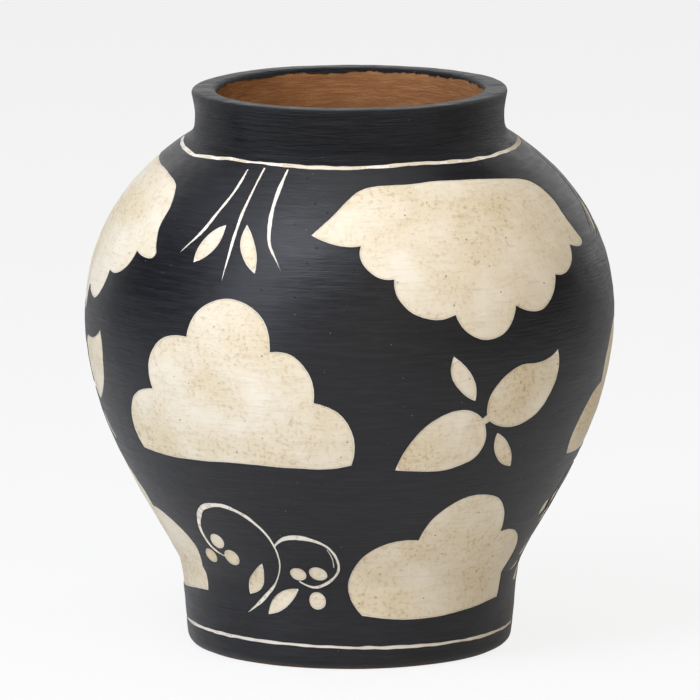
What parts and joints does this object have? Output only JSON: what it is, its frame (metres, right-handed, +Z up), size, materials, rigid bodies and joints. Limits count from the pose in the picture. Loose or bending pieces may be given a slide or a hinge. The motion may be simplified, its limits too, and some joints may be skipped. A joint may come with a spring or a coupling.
{
  "type": "clay pot",
  "caption": "Round-bellied clay pot with a short neck and a flat foot, black slip over cream slip, decorated with scratched flowers, leaves and scrolls.",
  "frame": {"origin": "middle of the resting face under the foot", "axes": "+Z up along the pot's axis; -Y is the front, where the stacked cloud and the flower meet the eye together"},
  "size_m": [0.2553, 0.2554, 0.27],
  "materials": {
    "terracotta": "matte",
    "cream_slip": "matte",
    "black_slip": "satin"
  },
  "bodies": {
    "root": {"base_disc": "terracotta", "foot_wall": "terracotta", "lower_belly": "terracotta", "shoulder": "terracotta", "neck_collar": "terracotta", "cream_slip_coat": "cream_slip", "foot_black_slip": "black_slip", "belly_black_slip": "black_slip", "neck_black_slip": "black_slip"}
  },
  "joints": []
}
